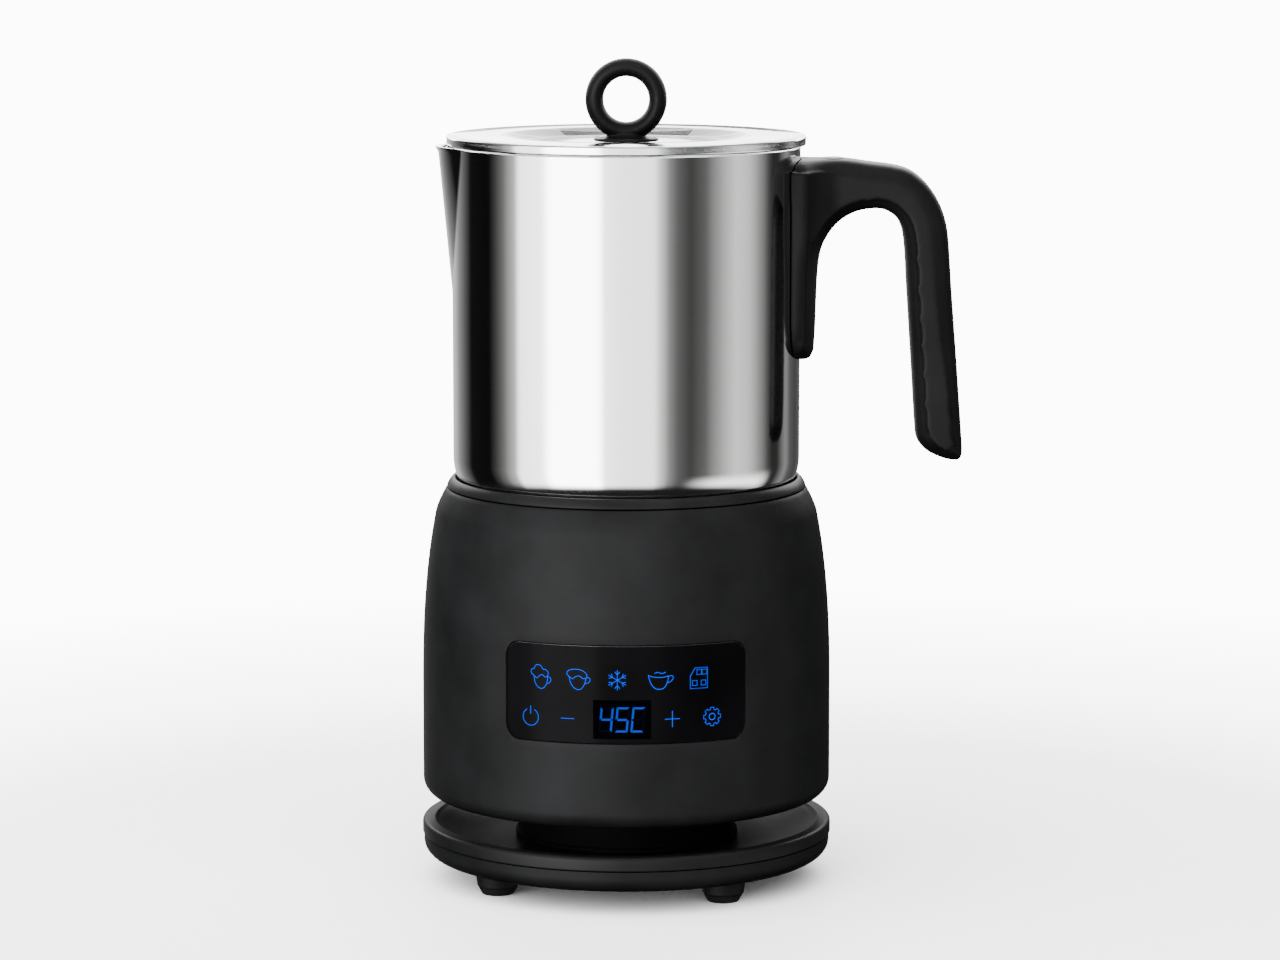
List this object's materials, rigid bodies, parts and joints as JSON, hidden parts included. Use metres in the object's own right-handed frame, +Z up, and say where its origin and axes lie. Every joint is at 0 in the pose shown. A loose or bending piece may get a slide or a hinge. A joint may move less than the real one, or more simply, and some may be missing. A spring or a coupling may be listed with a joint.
{
  "type": "milk frother",
  "caption": "Induction milk frother: steel jug with pouring spout, side handle and clear lid on a round black base with a touch panel and dished plinth.",
  "frame": {"origin": "centre of the bounding box's bottom face, on the surface the feet stand on", "axes": "+Z up, +X towards the jug's handle, -X towards the spout, -Y towards the touch panel"},
  "size_m": [0.1622, 0.126, 0.2463],
  "materials": {
    "housing": "fine matte, soft-touch black",
    "satin": "satin black",
    "rubber": "matte black rubber",
    "steel": "polished stainless steel",
    "panel": "gloss black, smoked",
    "clear": "clear, polished",
    "silicone": "translucent matte silicone",
    "copper": "enamelled copper winding",
    "ferrite": "dark grey ceramic",
    "zinc": "plain metal, zinc plated or cast",
    "circuit": "green board",
    "nylon": "natural nylon",
    "display": "lit blue, behind the smoked panel"
  },
  "bodies": {
    "base": {"plinth_bottom": "housing", "foot_pad_1": "rubber", "foot_pad_2": "rubber", "foot_pad_3": "rubber", "foot_pad_4": "rubber", "plinth_top": "housing", "base_screw_1": "zinc", "base_screw_2": "zinc", "base_screw_3": "zinc", "neck_collar": "housing", "cord_gland": "rubber", "housing_floor": "housing", "housing_shell": "housing", "seat_ring": "housing", "jug_seat": "satin", "touch_lens": "panel", "display_board": "circuit", "digit_module": "display", "induction_coil": "copper", "coil_former": "nylon", "ferrite_bar_1": "ferrite", "ferrite_bar_2": "ferrite", "ferrite_bar_3": "ferrite", "ferrite_bar_4": "ferrite", "motor_bracket": "zinc", "motor_can": "zinc", "motor_bearing_lower": "steel", "motor_bearing_upper": "steel", "power_board": "circuit", "filter_capacitor": "ferrite", "choke_coil": "copper", "heat_sink": "zinc", "power_transistor": "ferrite", "terminal_block": "nylon", "fan_frame": "satin", "sensor_spring": "steel"},
    "sensor": {"sensor_button": "steel"},
    "drive": {"motor_shaft": "steel", "motor_rotor": "copper", "magnet_carrier": "nylon", "drive_magnet": "ferrite"},
    "fan": {"fan_rotor": "satin"},
    "jug": {"jug_wall": "steel", "whisk_pin": "steel", "handle_grip": "satin", "handle_bracket": "steel", "handle_screw": "zinc", "handle_cap": "satin"},
    "sleeve": {"whisk_bush": "steel"},
    "whisk": {"whisk_disc": "satin", "whisk_magnet": "ferrite", "froth_ring": "steel"},
    "lid": {"lid_disc": "clear", "lid_seal": "silicone", "ring_handle": "satin", "ring_nut": "steel"}
  },
  "joints": [
    {"name": "jug_lift", "type": "slide", "parent": "base", "child": "jug", "axis": [0, 0, 1], "range_m": [0, 0.13]},
    {"name": "lid_lift", "type": "slide", "parent": "jug", "child": "lid", "axis": [0, 0, 1], "range_m": [0, 0.06]},
    {"name": "whisk_lift", "type": "slide", "parent": "jug", "child": "sleeve", "axis": [0, 0, 1], "range_m": [0, 0.04]},
    {"name": "whisk_spin", "type": "hinge", "parent": "sleeve", "child": "whisk", "pos_m": [-0.0193, -0.0013, 0.12], "axis": [0, 0, 1], "continuous": true},
    {"name": "motor_spin", "type": "hinge", "parent": "base", "child": "drive", "pos_m": [-0.0193, -0.0013, 0.085], "axis": [0, 0, 1], "continuous": true},
    {"name": "fan_spin", "type": "hinge", "parent": "base", "child": "fan", "pos_m": [-0.0193, 0.0322, 0.034], "axis": [0, 0, 1], "continuous": true},
    {"name": "sensor_press", "type": "slide", "parent": "base", "child": "sensor", "axis": [0, 0, 1], "range_m": [-0.0012, 0], "stiffness_N_per_m": 150, "springref_m": 0.0008, "deforming": ["sensor_spring"]}
  ],
  "couplings": [
    {"joint": "whisk_spin", "follows": "motor_spin", "ratio": 1}
  ]
}
